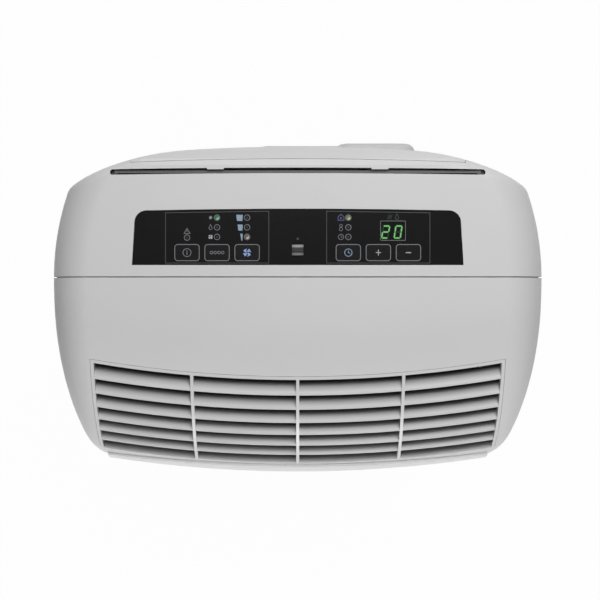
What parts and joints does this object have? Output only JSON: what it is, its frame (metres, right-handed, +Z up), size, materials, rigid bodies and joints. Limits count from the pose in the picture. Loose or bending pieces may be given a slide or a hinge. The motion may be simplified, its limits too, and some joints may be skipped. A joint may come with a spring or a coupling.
{
  "type": "dehumidifier",
  "caption": "Floor-standing dehumidifier and air cooler on castors: bowed casing, louvred front outlet, black control fascia, slide-out filter and rear hose socket.",
  "frame": {"origin": "on the floor under the middle of the machine's bounding box", "axes": "+X to the machine's right seen from above with the front towards -Y, +Y to the rear, +Z up"},
  "size_m": [0.45, 0.36, 0.75],
  "materials": {
    "casing": "fine satin moulding, light silver grey",
    "grille": "satin moulding",
    "fascia": "high gloss black",
    "key": "gloss black with a printed outline",
    "window": "smoked clear",
    "circuit_board": "solder resist",
    "filter": "fine mesh in a moulded frame",
    "dark_plastic": "moulded, lightly textured",
    "castor_body": "moulded nylon",
    "castor_tyre": "smooth tread",
    "air_guide": "moulded, dark grey",
    "zinc_steel": "zinc coated sheet",
    "motor_shell": "pressed steel",
    "compressor_shell": "black enamel",
    "rubber_mount": "moulded rubber",
    "fins": "fin stock",
    "copper": "drawn copper tube",
    "screw_steel": "plated"
  },
  "bodies": {
    "root": {"front_shell": "casing", "rear_shell": "casing", "front_panel": "casing", "outlet_grille": "grille", "fascia": "fascia", "display_window": "window", "receiver_window": "window", "control_board": "circuit_board", "intake_grille": "casing", "lower_grille": "casing", "filter_guide": "dark_plastic", "hose_socket": "casing", "drain_outlet": "dark_plastic", "drain_plug": "rubber_mount", "cord_bush": "rubber_mount", "cord_hooks": "casing", "handle_right": "casing", "handle_left": "casing", "base_pan": "dark_plastic", "mid_deck": "air_guide", "cold_coil": "fins", "hot_coil": "fins", "cold_scroll": "air_guide", "cold_motor": "motor_shell", "hot_scroll": "air_guide", "hot_motor": "motor_shell", "compressor": "compressor_shell", "compressor_mounts": "rubber_mount", "accumulator": "compressor_shell", "suction_pipe": "copper", "discharge_pipe": "copper", "liquid_pipe": "copper", "splash_motor": "motor_shell", "float_guide": "dark_plastic", "control_box": "zinc_steel", "main_board": "circuit_board", "run_capacitor": "motor_shell", "casing_screws": "screw_steel"},
    "power_button": {"power_button": "key"},
    "mode_button": {"mode_button": "key"},
    "fan_button": {"fan_button": "key"},
    "timer_button": {"timer_button": "key"},
    "plus_button": {"plus_button": "key"},
    "minus_button": {"minus_button": "key"},
    "castor_swivel_front_left": {"castor_fork_front_left": "castor_body"},
    "castor_roll_front_left": {"castor_wheel_front_left": "castor_tyre"},
    "castor_swivel_front_right": {"castor_fork_front_right": "castor_body"},
    "castor_roll_front_right": {"castor_wheel_front_right": "castor_tyre"},
    "castor_swivel_rear_left": {"castor_fork_rear_left": "castor_body"},
    "castor_roll_rear_left": {"castor_wheel_rear_left": "castor_tyre"},
    "castor_swivel_rear_right": {"castor_fork_rear_right": "castor_body"},
    "castor_roll_rear_right": {"castor_wheel_rear_right": "castor_tyre"},
    "cold_fan": {"cold_fan": "dark_plastic"},
    "hot_fan": {"hot_fan": "dark_plastic"},
    "splash_wheel": {"splash_wheel": "dark_plastic"},
    "filter": {"dust_filter": "filter"},
    "float": {"float_ring": "air_guide"}
  },
  "joints": [
    {"name": "power_press", "type": "slide", "parent": "root", "child": "power_button", "axis": [0, 0, -1], "range_m": [0, 0.0008], "stiffness_N_per_m": 600},
    {"name": "mode_press", "type": "slide", "parent": "root", "child": "mode_button", "axis": [0, 0, -1], "range_m": [0, 0.0008], "stiffness_N_per_m": 600},
    {"name": "fan_press", "type": "slide", "parent": "root", "child": "fan_button", "axis": [0, 0, -1], "range_m": [0, 0.0008], "stiffness_N_per_m": 600},
    {"name": "timer_press", "type": "slide", "parent": "root", "child": "timer_button", "axis": [0, 0, -1], "range_m": [0, 0.0008], "stiffness_N_per_m": 600},
    {"name": "plus_press", "type": "slide", "parent": "root", "child": "plus_button", "axis": [0, 0, -1], "range_m": [0, 0.0008], "stiffness_N_per_m": 600},
    {"name": "minus_press", "type": "slide", "parent": "root", "child": "minus_button", "axis": [0, 0, -1], "range_m": [0, 0.0008], "stiffness_N_per_m": 600},
    {"name": "swivel_front_left", "type": "hinge", "parent": "root", "child": "castor_swivel_front_left", "pos_m": [-0.18, -0.118, 0.0437], "axis": [0, 0, 1], "continuous": true},
    {"name": "roll_front_left", "type": "hinge", "parent": "castor_swivel_front_left", "child": "castor_roll_front_left", "pos_m": [-0.18, -0.129, 0.018], "axis": [1, 0, 0], "continuous": true},
    {"name": "swivel_front_right", "type": "hinge", "parent": "root", "child": "castor_swivel_front_right", "pos_m": [0.18, -0.118, 0.0437], "axis": [0, 0, 1], "continuous": true},
    {"name": "roll_front_right", "type": "hinge", "parent": "castor_swivel_front_right", "child": "castor_roll_front_right", "pos_m": [0.18, -0.129, 0.018], "axis": [1, 0, 0], "continuous": true},
    {"name": "swivel_rear_left", "type": "hinge", "parent": "root", "child": "castor_swivel_rear_left", "pos_m": [-0.18, 0.092, 0.0437], "axis": [0, 0, 1], "continuous": true},
    {"name": "roll_rear_left", "type": "hinge", "parent": "castor_swivel_rear_left", "child": "castor_roll_rear_left", "pos_m": [-0.18, 0.081, 0.018], "axis": [1, 0, 0], "continuous": true},
    {"name": "swivel_rear_right", "type": "hinge", "parent": "root", "child": "castor_swivel_rear_right", "pos_m": [0.18, 0.092, 0.0437], "axis": [0, 0, 1], "continuous": true},
    {"name": "roll_rear_right", "type": "hinge", "parent": "castor_swivel_rear_right", "child": "castor_roll_rear_right", "pos_m": [0.18, 0.081, 0.018], "axis": [1, 0, 0], "continuous": true},
    {"name": "cold_fan_spin", "type": "hinge", "parent": "root", "child": "cold_fan", "pos_m": [0, -0.005, 0.552], "axis": [0, 1, 0], "continuous": true},
    {"name": "hot_fan_spin", "type": "hinge", "parent": "root", "child": "hot_fan", "pos_m": [0.06, 0.02, 0.168], "axis": [0, 1, 0], "continuous": true},
    {"name": "splash_spin", "type": "hinge", "parent": "root", "child": "splash_wheel", "pos_m": [-0.072, 0.07, 0.084], "axis": [0, 1, 0], "continuous": true},
    {"name": "filter_slide", "type": "slide", "parent": "root", "child": "filter", "axis": [0, 0, 1], "range_m": [0, 0.27]},
    {"name": "float_lift", "type": "slide", "parent": "root", "child": "float", "axis": [0, 0, 1], "range_m": [0, 0.012]}
  ]
}
